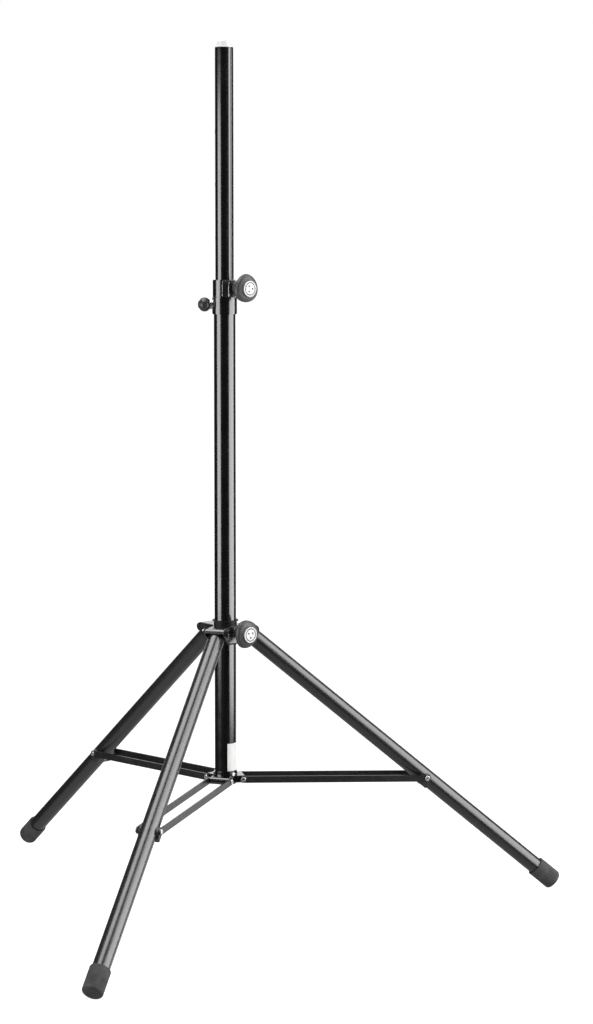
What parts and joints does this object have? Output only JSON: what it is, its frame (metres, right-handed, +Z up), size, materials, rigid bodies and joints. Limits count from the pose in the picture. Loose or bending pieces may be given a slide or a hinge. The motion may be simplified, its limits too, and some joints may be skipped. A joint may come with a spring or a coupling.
{
  "type": "speaker stand",
  "caption": "Black tripod speaker stand with folding braced legs on rubber feet, a telescopic pole with clamping knobs, a locking pin and a domed end cap.",
  "frame": {"origin": "the mast's axis at the floor", "axes": "+Z up along the mast, towards the pole's top; -Y out along the front leg; +X to the right seen from the front leg"},
  "size_m": [1.1622, 1.0115, 1.6502],
  "materials": {
    "gloss_black": "gloss black powder coat",
    "leg_black": "fine-textured semi-matt black powder coat",
    "brace_black": "satin black powder coat",
    "black_plastic": "moulded black plastic",
    "knob_plastic": "fine-grained dark grey plastic",
    "white_plastic": "smooth white plastic",
    "cap_plastic": "translucent grey-white plastic",
    "rubber": "matt dark grey rubber",
    "zinc": "bright zinc plate",
    "brass": "plain turned brass",
    "label": "matt white film"
  },
  "bodies": {
    "mast": {"lower_tube": "gloss_black", "collar_sleeve": "gloss_black", "collar_clamp": "gloss_black", "guide_bush": "black_plastic", "upper_clamp_nut": "zinc", "upper_pressure_pad": "brass", "lock_pin_housing": "zinc", "lock_pin_spring": "zinc", "bottom_bracket": "gloss_black", "bracket_screws": "zinc", "brace_pivot_pins": "zinc", "mast_end_plug": "black_plastic", "blank_label": "label"},
    "pole": {"pole_tube": "gloss_black", "pole_cap": "cap_plastic", "pole_glide": "black_plastic"},
    "upper_knob": {"upper_knob_grip": "knob_plastic", "upper_knob_disc": "white_plastic", "upper_knob_stud": "zinc", "upper_knob_washer": "zinc"},
    "lock_pin": {"lock_pin_plunger": "zinc", "lock_pin_grip": "black_plastic", "lock_pin_end_disc": "black_plastic"},
    "hub": {"hub_bracket": "gloss_black", "hub_bush": "black_plastic", "hub_clamp_nut": "zinc", "hub_pressure_pad": "brass", "leg_pivot_rivets": "gloss_black"},
    "hub_knob": {"hub_knob_grip": "knob_plastic", "hub_knob_disc": "white_plastic", "hub_knob_stud": "zinc", "hub_knob_washer": "zinc"},
    "leg_front": {"leg_front_tube": "leg_black", "leg_front_head": "black_plastic", "leg_front_saddle": "black_plastic", "leg_front_rivet": "zinc", "leg_front_foot": "rubber"},
    "brace_front": {"brace_front_bar_a": "brace_black", "brace_front_bar_b": "brace_black", "brace_front_rivets": "zinc"},
    "leg_right": {"leg_right_tube": "leg_black", "leg_right_head": "black_plastic", "leg_right_saddle": "black_plastic", "leg_right_rivet": "zinc", "leg_right_foot": "rubber"},
    "brace_right": {"brace_right_bar_a": "brace_black", "brace_right_bar_b": "brace_black", "brace_right_rivets": "zinc"},
    "leg_left": {"leg_left_tube": "leg_black", "leg_left_head": "black_plastic", "leg_left_saddle": "black_plastic", "leg_left_rivet": "zinc", "leg_left_foot": "rubber"},
    "brace_left": {"brace_left_bar_a": "brace_black", "brace_left_bar_b": "brace_black", "brace_left_rivets": "zinc"}
  },
  "joints": [
    {"name": "pole_height", "type": "slide", "parent": "mast", "child": "pole", "axis": [0, 0, 1], "range_m": [-0.3, 0.5]},
    {"name": "tripod_fold", "type": "slide", "parent": "mast", "child": "hub", "axis": [0, 0, 1], "range_m": [0, 0.53886]},
    {"name": "upper_knob_turn", "type": "hinge", "parent": "mast", "child": "upper_knob", "pos_m": [0.0433, -0.025, 1.1858], "axis": [0.866, -0.5, 0], "range_deg": [0, 270]},
    {"name": "hub_knob_turn", "type": "hinge", "parent": "hub", "child": "hub_knob", "pos_m": [0.0433, -0.025, 0.5329], "axis": [0.866, -0.5, 0], "range_deg": [0, 270]},
    {"name": "lock_pin_pull", "type": "slide", "parent": "mast", "child": "lock_pin", "axis": [-0.866, -0.5, 0], "range_m": [0, 0.008], "stiffness_N_per_m": 600, "springref_m": -0.006, "deforming": ["lock_pin_spring"]},
    {"name": "leg_front_fold", "type": "hinge", "parent": "hub", "child": "leg_front", "pos_m": [0, -0.041, 0.5295], "axis": [1, 0, 0], "range_deg": [-0.5, 50.4]},
    {"name": "brace_front_fold", "type": "hinge", "parent": "mast", "child": "brace_front", "pos_m": [0, -0.0304, 0.2467], "axis": [-1, 0, 0], "range_deg": [-0.5, 90.91]},
    {"name": "leg_right_fold", "type": "hinge", "parent": "hub", "child": "leg_right", "pos_m": [0.03551, 0.0205, 0.5295], "axis": [-0.5, 0.866, 0], "range_deg": [-0.5, 50.4]},
    {"name": "brace_right_fold", "type": "hinge", "parent": "mast", "child": "brace_right", "pos_m": [0.02633, 0.0152, 0.2467], "axis": [0.5, -0.866, 0], "range_deg": [-0.5, 90.91]},
    {"name": "leg_left_fold", "type": "hinge", "parent": "hub", "child": "leg_left", "pos_m": [-0.03551, 0.0205, 0.5295], "axis": [-0.5, -0.866, 0], "range_deg": [-0.5, 50.4]},
    {"name": "brace_left_fold", "type": "hinge", "parent": "mast", "child": "brace_left", "pos_m": [-0.02633, 0.0152, 0.2467], "axis": [0.5, 0.866, 0], "range_deg": [-0.5, 90.91]}
  ],
  "couplings": [
    {"joint": "leg_front_fold", "follows": "tripod_fold", "rad_per_m": 1.6162},
    {"joint": "brace_front_fold", "follows": "tripod_fold", "rad_per_m": 2.9282},
    {"joint": "leg_right_fold", "follows": "tripod_fold", "rad_per_m": 1.6162},
    {"joint": "brace_right_fold", "follows": "tripod_fold", "rad_per_m": 2.9282},
    {"joint": "leg_left_fold", "follows": "tripod_fold", "rad_per_m": 1.6162},
    {"joint": "brace_left_fold", "follows": "tripod_fold", "rad_per_m": 2.9282}
  ]
}
